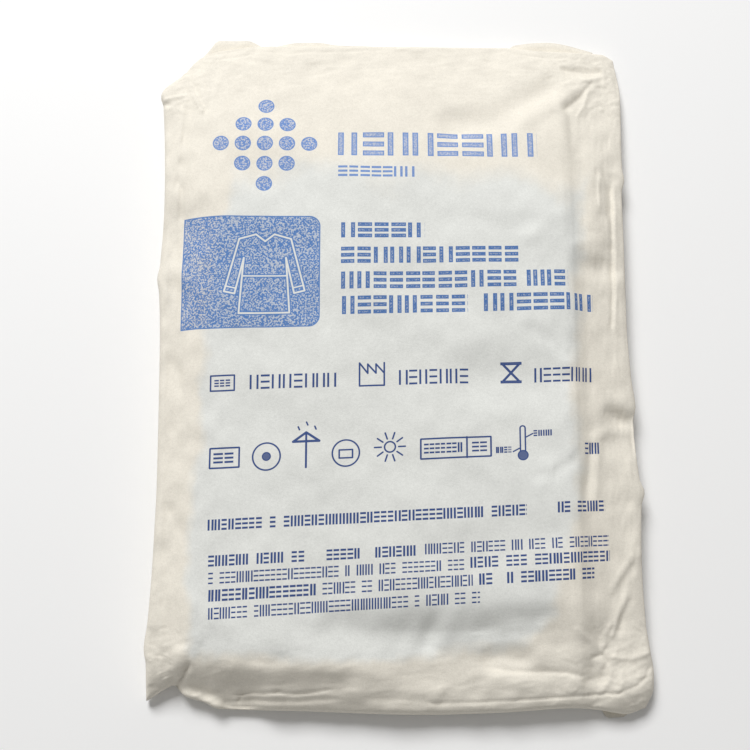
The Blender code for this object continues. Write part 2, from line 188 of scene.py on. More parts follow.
def relief(x, y, creases):
    """What the creases add to a sheet's height at the places (x, y)."""
    total = np.zeros_like(x)
    for crease in creases:
        low, high = np.min(crease.path, axis=0) - crease.width, np.max(crease.path, axis=0) + crease.width
        near = (x > low[0]) & (x < high[0]) & (y > low[1]) & (y < high[1])
        here_x, here_y = x[near], y[near]
        away = np.full_like(here_x, np.inf)
        side = np.zeros_like(here_x)
        for (ax, ay), (bx, by) in zip(crease.path, crease.path[1:]):
            run_x, run_y = bx - ax, by - ay
            share = ((here_x - ax) * run_x + (here_y - ay) * run_y) / (run_x**2 + run_y**2)
            share = np.clip(share, 0, 1)
            off_x, off_y = here_x - ax - share * run_x, here_y - ay - share * run_y
            distance = np.hypot(off_x, off_y)
            side = np.where(distance < away, np.sign(run_x * off_y - run_y * off_x), side)
            away = np.minimum(distance, away)
        off = np.clip(away / crease.width, 0, 1)
        form = crease.sharp * (1 - off) ** 2 + (1 - crease.sharp) * (1 + np.cos(np.pi * off)) / 2
        total[near] += crease.height * form * (1 + crease.lean * side * np.tanh(off * 7))
    return total


def swells(x, y, span, height, seed):
    """Soft uneven waves about this far apart, such as stiff paper takes from what lies under it."""
    chance = random.Random(seed)
    total = np.zeros_like(x)
    waves = 14
    for _ in range(waves):
        turn, start = chance.uniform(0, 2 * math.pi), chance.uniform(0, 2 * math.pi)
        pitch = 2 * math.pi / (span * chance.uniform(0.6, 1.7))
        total += np.cos(pitch * (x * math.cos(turn) + y * math.sin(turn)) + start)
    return height * total / math.sqrt(waves / 2)


def facets(x, y, span, height, seed):
    """Flat patches that meet in fine ridges, as handled paper has. Each wave bends the next one."""
    chance = random.Random(seed)
    total = np.zeros_like(x)
    waves = 7
    for _ in range(waves):
        turn, start = chance.uniform(0, 2 * math.pi), chance.uniform(0, 2 * math.pi)
        pitch = math.pi / (span * chance.uniform(0.7, 1.8))
        across = x * math.cos(turn) + y * math.sin(turn) + 0.5 * span * total
        total += 1 - np.abs(np.sin(pitch * across + start)) * 1.6
    return height * total / math.sqrt(waves)


# === Front sheet ==================================================================================
# The printed side of the tube. The paper is stiff, so it lies nearly smooth over the gown and gathers
# in pressed creases at the corners and down the sides. It rolls over every fold and laps a little way
# under the back sheet.

FRONT_THICKNESS = 0.25
ROLL_HEIGHT = 1.6  # of the roll of paper at each fold, above and below its widest place
ROLL_WIDTH = 1.2
LAP = 3.2  # how far it goes on under the back sheet
LAP_CLEAR = 0.3
CREASES = [
    Crease("top seam, left upper", -0.35, 1.8, [(-100, 163), (-86.5, 166), (-69.5, 168)], 1.0, 0.5),
    Crease("top seam, left lower", -0.35, 1.6,
           [(-98.5, 160), (-86.5, 162), (-75.5, 163.5), (-69.5, 165)], 1.0, -0.5),
    Crease("top seam, middle", -0.35, 1.6, [(-68, 165), (-52, 165), (-35, 165.5), (-8.5, 166.5)], 1.0, -0.5),
    Crease("top seam, right", -0.4, 1.6, [(54.5, 165.5), (62.5, 163.5), (78, 162), (91.5, 162)], 1.0, -0.5),
    Crease("top right dent", -1.1, 4.5, [(88.5, 153.5), (96, 153), (104.5, 153)], 0.3, 0.3),
    Crease("top right dome edge", 0.6, 4.0,
           [(86.5, 146), (93.5, 149.5), (100, 148.5), (104.5, 150.5)], 0.4, -0.3),
    Crease("top right arc", 0.4, 2.0, [(108, 156.5), (108.5, 151), (108, 146)], 0.9),
    Crease("top right knot", -0.5, 1.6, [(106, 144.5), (109, 143)], 1.0),
    Crease("top right valley", -1.1, 4.5, [(100, 146), (95, 139), (87, 131.5)], 0.5, 0.3),
    Crease("top right valley tail", -0.7, 4.5, [(87, 131.5), (88.5, 124.5), (88.5, 112.5)], 0.2),
    Crease("top right facet ridge", 0.7, 3.0, [(99, 142), (96.5, 133.5), (92.5, 127)], 0.9, 0.4),
    Crease("top right facet foot", -0.5, 3.0, [(104.5, 133.5), (100, 131), (97.5, 126)], 0.8),
    Crease("right edge tuck", -0.8, 3.5, [(114.5, 157.5), (115.5, 150), (116.5, 141), (116.5, 134)], 0.5),
    Crease("right pinch", -1.2, 2.6, [(101.5, 95.5), (106, 94), (110.5, 93), (116, 92.5)], 1.0, -0.5),
    Crease("right pinch spur", -0.8, 2.4, [(104.5, 99), (106, 94)], 1.0),
    Crease("pocket left edge", 0.7, 2.6, [(102, 90.5), (101.5, 82.5), (101.5, 75)], 0.9, 0.3),
    Crease("pocket foot", -0.9, 2.6, [(101.5, 75), (104, 72), (109, 75.5)], 1.0),
    Crease("pocket hollow", -0.6, 3.0, [(107, 90.5), (107, 82), (106.5, 76)], 0.4),
    Crease("right edge roll", 0.55, 2.4, [(110.5, 87.5), (110, 60.5), (109.5, 31), (108, 14.5)], 0.9),
    Crease("right edge roll foot", -0.9, 2.6, [(108.5, 88.5), (108, 60), (107.5, 30.5), (106.5, 17)], 0.8),
    Crease("right step", 0.6, 4.5, [(87, 56.5), (96.5, 59.5), (108, 60)], 0.5, -0.5),
    Crease("right slope hollow", -1.4, 8, [(91, 44), (97.5, 46), (106, 45)], 0.1),
    Crease("right wrinkle, high", -0.5, 2.2, [(99.5, 51.5), (103.5, 47)], 0.9),
    Crease("right wrinkle, low", -0.5, 2.2, [(102, 43.5), (105, 39)], 0.9),
    Crease("right wrinkle, third", -0.4, 2.0, [(99.5, 46.5), (101.5, 41.5)], 0.9),
    Crease("right wrinkle, fourth", -0.5, 2.4, [(102.5, 30.5), (106.5, 28)], 0.8),
    Crease("right shoulder fold", -0.5, 3.0, [(78.5, 0.5), (83.5, -0.5)], 0.9, 0.3),
    Crease("right faint fold", 0.35, 1.6, [(80, -32), (88, -33)], 1.0),
    Crease("right side dent", -2.4, 7, [(105, -29), (110.5, -32.5), (118, -34)], 0.3, 0.3),
    Crease("right side ridge", 1.1, 4.0, [(94.5, -42.5), (100, -38.5), (108, -36.5), (119, -36)], 0.6, 0.3),
    Crease("right side ridge branch", 0.5, 2.6, [(100, -38.5), (97, -35.5)], 0.8),
    Crease("right shoulder valley", -0.9, 4.0, [(93.5, -44), (91, -62.5), (89.5, -72.5)], 0.4),
    Crease("right shoulder rib", 0.6, 4.0, [(97.5, -45), (96.5, -61), (94.5, -73)], 0.4),
    Crease("bent dent", -0.7, 4.5, [(69.5, -60.5), (76, -58), (83.5, -53)], 0.5, 0.4),
    Crease("bent dent ridge", 0.6, 3.6, [(68, -63.5), (71.5, -60.5), (74, -54.5)], 0.6),
    Crease("bent dent tail", -0.4, 3.0, [(83.5, -53), (87.5, -47.5)], 0.7),
    Crease("lower right ridge", 0.9, 3.2,
           [(102.5, -113.5), (105, -109.5), (112, -99), (117.5, -96)], 0.9, 0.4),
    Crease("lower right ridge foot", -0.7, 3.4, [(106.5, -111.5), (113.5, -102)], 0.7),
    Crease("lower right crease", 0.9, 3.0,
           [(102.5, -135), (103.5, -132.5), (105.5, -124.5), (110, -116.5)], 0.9, 0.4),
    Crease("lower right crease foot", -0.7, 3.2, [(106, -132), (108, -124.5), (112, -118)], 0.7),
    Crease("lower right facet", -0.5, 3.4, [(95, -113.5), (99, -118.5), (101, -123.5)], 0.8),
    Crease("lower right pinch", -1.0, 2.6, [(92.5, -145), (97, -143.5), (98.5, -141.5)], 1.0),
    Crease("lower right pinch tail", -0.9, 2.4, [(97, -143.5), (99.5, -147.5), (98, -150.5)], 1.0),
    Crease("lower right ray", 0.6, 3.4, [(97, -142.5), (91, -137), (84, -132)], 0.8),
    Crease("lower right ray, second", 0.6, 3.0, [(97.5, -142.5), (98.5, -137), (101.5, -130)], 0.8),
    Crease("lower right ray, third", -0.6, 3.4, [(96, -141.5), (94.5, -134), (91, -128.5)], 0.7),
    Crease("corner hollow", -0.9, 5.0, [(89.5, -156), (94.5, -155), (98, -154)], 0.4),
    Crease("corner rib", 0.8, 3.0, [(96, -161), (100, -156.5), (101, -152)], 0.8),
    Crease("corner rib, second", 0.7, 2.8, [(104.5, -160.5), (106.5, -155.5), (106, -152)], 0.8),
    Crease("corner facet edge", 0.8, 4.0,
           [(120.5, -143), (116, -145), (111, -146.5), (103, -145.5)], 0.6, -0.4),
    Crease("corner crease, low", -0.5, 2.4, [(105, -158), (107.5, -163)], 0.9),
    Crease("brim edge", -0.7, 4.0,
           [(44.5, -150.5), (55.5, -152), (65, -152), (79, -152.5), (86, -154)], 0.7, 0.5),
    Crease("brim swell", 0.7, 6.0, [(47, -155.5), (57.5, -156.5), (69, -157)], 0.1),
    Crease("brim line", -0.7, 2.0,
           [(13.5, -166.5), (38.5, -166), (55.5, -165), (79, -163.5), (95.5, -162.5), (104.5, -162)],
           1.0, 0.4),
    Crease("brim line, corner", -0.7, 2.2,
           [(104.5, -162), (113.5, -158.5), (118.5, -154.5), (120.5, -150)], 1.0, 0.4),
    Crease("brim ridge, upright", 0.9, 3.6, [(16, -166), (18.5, -162), (21, -158.5)], 0.6),
    Crease("brim ridge, small", 0.5, 2.6, [(53, -165), (54.5, -161.5)], 0.7),
    Crease("brim ridge, third", 0.5, 2.6, [(68.5, -164), (67.5, -160.5)], 0.7),
    Crease("brim dark, left", -0.7, 5.0, [(-12.5, -164), (0.5, -164.5), (13.5, -165)], 0.3),
    Crease("soft ridge, left", 0.8, 7.0, [(11, -127), (8, -134.5), (5, -141.5)], 0.1),
    Crease("soft ridge, right", 0.9, 7.0, [(26, -123), (23, -131), (21, -136.5)], 0.1),
    Crease("soft hollow between", -0.5, 5.0, [(15.5, -128), (14, -139)]),
    Crease("soft hollow, right", -1.3, 12, [(41, -132.5), (54.5, -129), (68.5, -127)], 0.1, 0.2),
    Crease("soft hollow, right point", -0.8, 4.5, [(65.5, -127.5), (69.5, -126)], 0.8),
    Crease("ridge from the point", 0.6, 5.0, [(70, -127), (64.5, -136.5), (57.5, -143.5)], 0.5),
    Crease("soft hollow, low", -2.8, 9, [(44, -145.5), (57, -145)], 0.1),
    Crease("soft swell, low", 1.0, 8, [(68, -144.5), (88, -144.5)]),
    Crease("hollow at the gown's end", -2.4, 14, [(-29, -132), (-8, -135), (12, -134)]),
    Crease("notch fold", -0.9, 4, [(-107, -158.5), (-102.5, -152.5), (-100, -149)], 0.6, -1.0),
    Crease("notch line", -0.9, 1.8, [(-107.5, -159), (-102.5, -153.5), (-99, -147)], 1.0),
    Crease("notch hollow", -6.5, 19, [(-97, -159), (-86, -163), (-76, -165)]),
    Crease("notch lobe", 3.4, 6.5, [(-101, -164.5), (-94, -166.5), (-87.5, -169.5)]),
    Crease("notch side ridge", 1.4, 6, [(-110, -156), (-105.5, -149), (-103, -143)], 0.3),
    Crease("ear crease", 0.6, 2.4, [(-115, -143.5), (-113, -146), (-113, -153.5)], 0.9),
    Crease("ear edge", -0.5, 2.6, [(-109.5, -159.5), (-115, -163.5), (-118, -165)], 0.8),
    Crease("ear dent", -0.5, 3.0, [(-118, -142.5), (-114, -144), (-109, -142)], 0.5),
    Crease("bottom crease, first", -1.0, 1.8,
           [(-78, -163), (-69.5, -161.5), (-64.5, -162), (-58.5, -161)], 1.0, 0.3),
    Crease("bottom crease, long", -1.0, 1.8,
           [(-57.5, -161), (-51.5, -162), (-42, -161.5), (-32.5, -159.5)], 1.0, 0.3),
    Crease("bottom crease shelf", -1.0, 2.6,
           [(-76, -165.5), (-64.5, -165), (-46.5, -165), (-32.5, -164)], 0.2),
    Crease("bottom crease, branch", -0.8, 2.4, [(-83, -166.5), (-76.5, -165.5), (-74.5, -162.5)], 1.0),
    Crease("bottom pinch, upper", -0.6, 2.2, [(-57, -160), (-55.5, -157)], 1.0),
    Crease("bottom pinch, lower", -0.7, 2.4, [(-57, -160.5), (-56, -164), (-55, -167.5)], 0.9),
    Crease("bottom stain hollow", -0.5, 5.0, [(-67, -145), (-60.5, -147.5), (-54, -145.5)], 0.1),
    Crease("bottom swell", 0.6, 7.0, [(-46.5, -147.5), (-32.5, -149.5), (-13.5, -151.5)]),
    Crease("bottom end hollow", -1.7, 9, [(-80, -157), (-60, -157), (-25.5, -157)], 0.1),
    Crease("opening corner crease", 0.9, 3.2,
           [(-111.5, 152), (-107.5, 144.5), (-104.5, 137), (-100.5, 128.5)], 0.9, 0.5),
    Crease("opening corner shade", -0.7, 3.0, [(-107.5, 148.5), (-103, 139.5), (-98, 129.5)], 0.7),
    Crease("opening corner ridge", 0.8, 2.8, [(-120, 137), (-114, 138.5), (-108.5, 139.5)], 0.9, -0.5),
    Crease("opening corner tuck", -1.2, 2.4, [(-123, 135.5), (-120, 134.5), (-117.5, 133.5)], 0.9),
    Crease("left shoulder, first", 0.7, 2.6,
           [(-109, 137), (-110, 129), (-111, 118.5), (-111, 107), (-111, 100.5)], 0.8, 0.3),
    Crease("left shoulder, side", -0.5, 3.0, [(-105, 133), (-107, 123.5), (-108.5, 112)], 0.6),
    Crease("left pinch, upper", -1.0, 2.6, [(-112, 99), (-110, 100), (-107, 101)], 1.0),
    Crease("left pinch, upper tail", -0.6, 2.4, [(-110.5, 100), (-108, 96)], 0.9),
    Crease("left pinch, lower", -1.2, 2.8, [(-120, 93.5), (-114.5, 90), (-111, 90)], 1.0, -0.4),
    Crease("left pinch, lower tail", -0.8, 2.6, [(-111, 90), (-109, 85)], 0.9),
    Crease("left shoulder, second", 0.6, 2.4, [(-110.5, 88.5), (-111, 80), (-111.5, 71)], 0.9, 0.3),
    Crease("left shoulder, side low", -0.6, 3.2, [(-108.5, 86), (-108, 78), (-109, 71.5)], 0.6),
    Crease("left pinch, third", -0.6, 2.4, [(-112.5, 70), (-110, 70.5), (-107.5, 71.5)], 0.9),
    Crease("left strip hollow", -0.6, 3.5, [(-117, 129.5), (-116.5, 113), (-115.5, 95.5)], 0.3),
    Crease("opening corner hollow", -0.4, 5.0, [(-96, 151), (-97, 137.5), (-92.5, 129.5)], 0.2),
    Crease("left strip roll, upper", 0.45, 2.6, [(-115.5, 63.5), (-115.5, 48), (-115, 28.5)], 0.7, 0.2),
    Crease("left strip roll, middle", 0.4, 2.6, [(-115, 13.5), (-114.5, -11.5), (-114, -36.5)], 0.7, 0.2),
    Crease("left strip roll, lower", 0.45, 2.6, [(-114, -56), (-114, -89.5), (-114, -118)], 0.7, 0.2),
    Crease("left strip valley", -0.5, 4.0, [(-111, 63.5), (-110.5, 33.5), (-110, 13)], 0.3),
    Crease("left strip hollow, upper", -0.6, 4.5, [(-111, -2), (-107.5, -8.5)], 0.2),
    Crease("left strip hollow, lower", -0.6, 4.5, [(-110, -35), (-107, -42)], 0.2),
    Crease("left edge knob", 0.6, 3.5, [(-122, 39), (-116, 34), (-113, 30.5)], 0.6),
    Crease("left lower dimple", -0.9, 3.2, [(-112.5, -73.5), (-108, -75), (-109.5, -77.5)], 0.8, -0.4),
    Crease("left lower dimple tail", -0.5, 5, [(-108, -76.5), (-103.5, -85), (-101, -92)], 0.2),
    Crease("left lower ridge", 0.5, 3.2, [(-114.5, -118), (-112, -128.5), (-113, -138.5)], 0.6),
    Crease("slanting hollow", -2.2, 20, [(40, -12), (54, -10), (72, -14)]),
    Crease("light patch", 0.5, 8, [(64.5, 18), (72.5, 14)]),
    Crease("slanting fold", -0.6, 4.5, [(65, 12), (72, 8), (78, 2.5)], 0.5, 0.3),
    Crease("upper hollow", -0.6, 8, [(43, 68), (57.5, 65), (76, 65.5)]),
    Crease("top right soft valley", -2.2, 12, [(30, 121), (50, 124), (66, 133), (80, 141)], 0.1),
    Crease("top right soft ridge", 1.7, 9, [(66, 125.5), (84.5, 137), (98.5, 145)], 0.1),
    Crease("shoulder dip", -1.2, 7, [(82.5, -12), (93, -14)], 0.2),
    Crease("soft hollow, wide", -0.8, 16, [(38.5, -92.5), (76.5, -85)]),
    Crease("shoulder swell, low", 2.0, 14, [(91, -124), (88, -134)], 0.1),
    Crease("left strip dip", -3.0, 24, [(-116, 64), (-109.5, 64)]),
    Crease("lower right lift", 2.0, 22, [(90, -156), (108, -154)]),
    Crease("corner swell", 3.2, 14, [(108, -161), (114, -159)]),
    Crease("right shoulder fill", 2.2, 14, [(99, 58), (99, 98)]),
    Crease("right side hollow", -2.0, 18, [(108, -41), (116, -41)]),
    Crease("upper swell", 0.6, 7, [(65.5, 59.5), (74.5, 66.5), (81, 72)]),
]


def chance_creases(count, seed):
    """Small creases from handling, thick near the folds and the corners and none over the gown."""
    chance = random.Random(seed)
    creases = []
    while len(creases) < count:
        x, y = chance.uniform(-119, 117), chance.uniform(BOTTOM + 3, TOP - 3)
        inward = sorted(inward_of(x, y))
        to_corner = math.hypot(inward[0], inward[1])
        if chance.random() < min(inward[0] / 32, to_corner / 70):
            continue
        turn, length = chance.uniform(0, math.pi), chance.uniform(2, 7)
        bend = turn + chance.uniform(-0.6, 0.6)
        middle = (x + length * math.cos(turn), y + length * math.sin(turn))
        end = (middle[0] + length * 0.6 * math.cos(bend), middle[1] + length * 0.6 * math.sin(bend))
        height = chance.uniform(0.08, 0.3) * chance.choice((-1, 1))
        width = chance.uniform(1.4, 3.4)
        creases.append(Crease("chance", height, width, [(x, y), middle, end], 0.9))
    return creases


def stations(low, high, near, border, fine, coarse):
    """Places of a sheet's rows of points: the near ones at each edge, fine steps, then coarse steps."""
    border_steps = np.arange(near[-1] + fine, border, fine)
    inner = np.linspace(low + border, high - border, round((high - low - 2 * border) / coarse) + 1)
    edge = np.concatenate([near, border_steps])
    return np.concatenate([low + edge, inner, high - edge[::-1]])


def sheet_mesh(name, x, y, z):
    """A mesh from a grid with a point for each entry of the arrays, and each point's row and column."""
    rows, columns = x.shape
    shape = bmesh.new()
    bmesh.ops.create_grid(shape, x_segments=columns - 1, y_segments=rows - 1, size=0.5)
    column = [round((vert.co.x + 0.5) * (columns - 1)) for vert in shape.verts]
    row = [round((vert.co.y + 0.5) * (rows - 1)) for vert in shape.verts]
    for vert, i, j in zip(shape.verts, row, column):
        vert.co = Vector((x[i, j], y[i, j], z[i, j])) * MM
    mesh = bpy.data.meshes.new(name)
    shape.to_mesh(mesh)
    shape.free()
    mesh.shade_smooth()
    return mesh, (row, column)


def finished(name, mesh, material, thickness):
    """A sheet's object, with the paper's thickness under the side it shows."""
    mesh.materials.append(material)
    piece = bpy.data.objects.new(name, mesh)
    bpy.context.scene.collection.objects.link(piece)
    paper = piece.modifiers.new("paper", "SOLIDIFY")
    paper.thickness = thickness * MM
    paper.offset = -1
    return piece


def keep(mesh, name, kind, values):
    """Keeps a number, or a place, for every point of a mesh as an attribute that its material reads."""
    attribute = mesh.attributes.new(name, kind, "POINT")
    field = "vector" if kind == "FLOAT_VECTOR" else "value"
    attribute.data.foreach_set(field, np.ascontiguousarray(values, np.float32).ravel())


around_fold = np.array([-LAP, -2.2, -1.4, -0.8, -0.3, 0, 0.3, 0.8, 1.6])
across = stations(-HALF_WIDTH, HALF_WIDTH, around_fold, border=46, fine=0.8, coarse=2.4)
along = stations(BOTTOM, TOP, around_fold, border=42, fine=0.8, coarse=2.4)
flat_u, flat_v = np.meshgrid(across, along)
u = HALF_WIDTH - np.abs(HALF_WIDTH - np.abs(flat_u))  # what is past a fold lies under the sheet
u = np.copysign(u, flat_u)
half_length, middle_v = (TOP - BOTTOM) / 2, (TOP + BOTTOM) / 2
v = middle_v + np.copysign(half_length - np.abs(half_length - np.abs(flat_v - middle_v)), flat_v - middle_v)
inward = np.minimum.reduce(inward_of(flat_u, flat_v))
over = np.clip(inward / ROLL_WIDTH, 0, 1)
under = np.clip(-inward / ROLL_WIDTH, 0, 1)
x, y = plan(u, v)
fold = read(SIDE_FOLD, v)
smooth_z = domed(u, v)
SLACK_REACH = 36.0
slack = np.clip(1.15 - np.clip(inward, 0, None) / SLACK_REACH, 0.1, 1)  # how loose it is, 1 by the folds
rough = relief(x, y, CREASES + chance_creases(count=220, seed=5))
rough += swells(x, y, span=46, height=0.34, seed=11)
rough += swells(x, y, span=17, height=0.15, seed=12) * (0.6 + slack)
rough += facets(x, y, span=9, height=0.24, seed=13) * slack
rough += facets(x, y, span=4, height=0.065, seed=14) * (0.3 + slack)
roll = ROLL_HEIGHT * np.sqrt(1 - (1 - over) ** 2)
top_z = smooth_z + roll * (1 - np.clip(smooth_z - fold, 0, PLATEAU) / (PLATEAU - fold + 1)) + rough * over
lap_z = fold - (fold - laid_back(u, v) + LAP_CLEAR) * np.sqrt(1 - (1 - under) ** 2)
z = np.where(inward >= 0, np.maximum(top_z, fold), lap_z)
front_mesh, (row, column) = sheet_mesh("front_sheet_paper", x, y, z)

# The print's own places are millimetres along the paper from its middle. Rows of print climb a little
# to the right, more so towards the bottom, because the paper was fed askew.
RowSlope = namedtuple("RowSlope", "along slope")
ROW_SLOPE = [
    RowSlope(-136, 0.064), RowSlope(-110, 0.059), RowSlope(-90, 0.050), RowSlope(-60, 0.048),
    RowSlope(-20, 0.032), RowSlope(18, 0.022), RowSlope(57, 0.008), RowSlope(99, -0.010),
]
LEFT_MARGIN = -94.0


def measured(place, height, axis):
    """Lengths along the smooth paper from its middle, along one axis of the grid."""
    place, height = np.moveaxis(place, axis, 0), np.moveaxis(height, axis, 0)
    steps = np.hypot(np.diff(place, axis=0, prepend=place[:1]), np.diff(height, axis=0, prepend=height[:1]))
    length = np.cumsum(steps, axis=0)
    middle = len(length) // 2
    return np.moveaxis(length - length[middle] + place[middle], 0, axis)


paper_across = measured(x, smooth_z, 1)
paper_along = measured(y, smooth_z, 0)
print_along = paper_along - read(ROW_SLOPE, paper_along) * (paper_across - LEFT_MARGIN)
print_place = np.stack([paper_across, print_along, np.zeros_like(x)], axis=-1)
keep(front_mesh, "print_place", "FLOAT_VECTOR", print_place[row, column])

# Where the gown lies against the paper, its blue shows through and the cream paper looks cool. The
# place of each side of that area changes along it.
Side = namedtuple("Side", "along place")
GOWN_SHOWS = {
    "left": [Side(-140, -99), Side(-72, -99), Side(-40, -95), Side(5, -94), Side(60, -88), Side(90, -80)],
    "right": [Side(-140, 60), Side(-122, 73), Side(-90, 82), Side(-65, 88), Side(-30, 86), Side(70, 93)],
    "bottom": [Side(-98, -144), Side(0, -145.5), Side(40, -141.5), Side(72, -136)],
    "top": [Side(-86, 86), Side(-34, 101), Side(0, 93), Side(60, 92), Side(81, 86)],
}
FADE = {"left": 7, "right": 8, "bottom": 7, "top": 20}  # how wide each side's border is


def backed_by_gown(x, y):
    """1 where the sheet lies on the gown, 0 where it stands off, with an uneven border."""
    wander = swells(x, y, span=30, height=1.4, seed=21) + swells(x, y, span=8, height=0.5, seed=22)
    touching = np.minimum.reduce([
        (x - read(GOWN_SHOWS["left"], y) + wander) / FADE["left"],
        (read(GOWN_SHOWS["right"], y) - x + wander) / FADE["right"],
        (y - read(GOWN_SHOWS["bottom"], x) + wander) / FADE["bottom"],
        (read(GOWN_SHOWS["top"], x) - y + 2 * wander) / FADE["top"],
    ])
    touching = np.clip(touching + 0.5, 0, 1)
    return touching**2 * (3 - 2 * touching)


keep(front_mesh, "backed", "FLOAT", backed_by_gown(x, y)[row, column])


class Value:
    """A number, place or colour that changes over a surface. Arithmetic on it adds Math nodes."""

    def __init__(self, tree, socket):
        self.tree, self.socket = tree, socket

    def step(self, operation, *others):
        node = self.tree.nodes.new("ShaderNodeMath")
        node.operation = operation
        for entry, value in zip(node.inputs, (self, *others)):
            feed(entry, value)
        return Value(self.tree, node.outputs[0])

    def ramp(self, low, high):
        """0 where it is under low, 1 where it is over high and smooth between them."""
        node = self.tree.nodes.new("ShaderNodeMapRange")
        node.interpolation_type = "SMOOTHSTEP"
        feed(node.inputs["Value"], self)
        node.inputs["From Min"].default_value = low
        node.inputs["From Max"].default_value = high
        return Value(self.tree, node.outputs["Result"])

    def __add__(self, other):
        return self.step("ADD", other)

    def __sub__(self, other):
        return self.step("SUBTRACT", other)

    def __mul__(self, other):
        return self.step("MULTIPLY", other)

    def __truediv__(self, other):
        return self.step("DIVIDE", other)

    def __neg__(self):
        return self.step("MULTIPLY", -1)

    def __abs__(self):
        return self.step("ABSOLUTE")

    def least(self, other):
        return self.step("MINIMUM", other)

    def most(self, other):
        return self.step("MAXIMUM", other)


def feed(entry, value):
    """Links a Value to a node's socket, or sets the socket to a plain one."""
    if isinstance(value, Value):
        value.tree.links.new(value.socket, entry)
    else:
        entry.default_value = value


def long(first, second):
    """The length of the slanting side over two sides."""
    return (first * first + second * second).step("SQRT")


def group(name, given, made):
    """A shader node group: its tree, its inputs as a dict, and a call that links its outputs."""
    tree = bpy.data.node_groups.new(name, "ShaderNodeTree")
    for socket, start in given.items():
        kind = "NodeSocketVector" if start is None else "NodeSocketFloat"
        entry = tree.interface.new_socket(socket, in_out="INPUT", socket_type=kind)
        if start is not None:
            entry.default_value = start
    for socket in made:
        tree.interface.new_socket(socket, in_out="OUTPUT", socket_type="NodeSocketFloat")
    entries = tree.nodes.new("NodeGroupInput").outputs
    end = tree.nodes.new("NodeGroupOutput")

    def put_out(**values):
        for socket, value in values.items():
            feed(end.inputs[socket], value)

    return tree, {socket: Value(tree, entries[socket]) for socket in given}, put_out


def placed(tree, group_tree, values):
    """Places a group in a tree with these values on its inputs, and gives its outputs by name."""
    node = tree.nodes.new("ShaderNodeGroup")
    node.node_tree = group_tree
    for socket, value in values.items():
        feed(node.inputs[socket], value)
    return {socket.name: Value(tree, socket) for socket in node.outputs}


def noise(place, size, detail, stretch=(1, 1, 1)):
    """Noise whose features are about this many millimetres across."""
    tree = place.tree
    mapping = tree.nodes.new("ShaderNodeMapping")
    mapping.inputs["Scale"].default_value = [1 / (MM * size * side) for side in stretch]
    feed(mapping.inputs["Vector"], place)
    node = tree.nodes.new("ShaderNodeTexNoise")
    node.inputs["Scale"].default_value = 1
    node.inputs["Detail"].default_value = detail
    feed(node.inputs["Vector"], Value(tree, mapping.outputs["Vector"]))
    return Value(tree, node.outputs["Fac"])


# Uncoated paper: cloudy where its pulp lies thicker, with short fibres every way and a fine tooth.
fibre, given, put_out = group("paper fibre", {"Place": None}, ["Tone", "Height", "Roughness"])
cloud = noise(given["Place"], size=7, detail=4)
grain = noise(given["Place"], size=1.4, detail=2)
tooth = noise(given["Place"], size=0.5, detail=2)
strands_across = noise(given["Place"], size=0.45, detail=1, stretch=(5, 1, 2))
strands_along = noise(given["Place"], size=0.45, detail=1, stretch=(1, 5, 2))
strand = strands_across.most(strands_along).ramp(0.58, 0.80)
put_out(
    Tone=cloud * 0.15 + grain * 0.14 + tooth * 0.28 + strand * 0.012 + 0.71,
    Height=grain * 1.2 + tooth * 0.8 + strand * 0.18,
    Roughness=cloud * 0.16 + 0.66,
)

# The print: one blue ink, thin and speckled where it covers a large area. The marks are plain: rows of
# short strokes, simple pictograms, a panel with the outline of a gown, and a diamond of dots.
# Each mark below gives how far inside it a place is, less than 0 outside it.
box_print, given, put_out = group(
    "printed box",
    {"Across": 0, "Along": 0, "Middle Across": 0, "Middle Along": 0,
     "Half Width": 5, "Half Height": 5, "Corner": 1, "Line": 50},
    ["Inside"],
)
side = abs(given["Across"] - given["Middle Across"]) - given["Half Width"] + given["Corner"]
end = abs(given["Along"] - given["Middle Along"]) - given["Half Height"] + given["Corner"]
outside = long(side.most(0), end.most(0)) + side.most(end).least(0) - given["Corner"]
put_out(Inside=(-outside).least(outside + given["Line"]))

line_print, given, put_out = group(
    "printed line",
    {"Across": 0, "Along": 0, "From Across": 0, "From Along": 0, "Run Across": 1, "Run Along": 1,
     "Half Line": 0.4},
    ["Inside"],
)
away, up = given["Across"] - given["From Across"], given["Along"] - given["From Along"]
run, rise = given["Run Across"], given["Run Along"]
share = ((away * run + up * rise) / (run * run + rise * rise)).most(0).least(1)
put_out(Inside=given["Half Line"] - long(away - share * run, up - share * rise))

# Each place in a row holds two upright strokes or three level ones, or nothing. The nodes are made in
# the order of their links, because the renderer runs out of room for values that wait.
row_print, given, put_out = group(
    "printed row of strokes",
    {"Across": 0, "Along": 0, "Start": 0, "End": 10, "Base": 0, "Height": 5, "Pitch": 4, "Line": 0.8,
     "Gaps": 0.15},
    ["Inside"],
)
places = (given["Across"] - given["Start"]) / given["Pitch"]
half_count = (given["End"] - given["Start"]) / given["Pitch"] * 0.5
number = places.step("FLOOR")
number_and_row = row_print.nodes.new("ShaderNodeCombineXYZ")
feed(number_and_row.inputs["X"], number)
feed(number_and_row.inputs["Y"], given["Base"])
toss = row_print.nodes.new("ShaderNodeTexWhiteNoise")
toss.noise_dimensions = "2D"
feed(toss.inputs["Vector"], Value(row_print, number_and_row.outputs["Vector"]))
tosses = row_print.nodes.new("ShaderNodeSeparateColor")
feed(tosses.inputs["Color"], Value(row_print, toss.outputs["Color"]))
wide_toss, kind_toss, gap_toss = [Value(row_print, socket) for socket in tosses.outputs]
shown = (half_count - abs(places - half_count)).least(gap_toss - given["Gaps"])
across_place = places.step("FRACT") * given["Pitch"]
to_side = across_place.least(given["Pitch"] * (wide_toss * 0.12 + 0.76) - across_place)
half_height = given["Height"] * 0.5
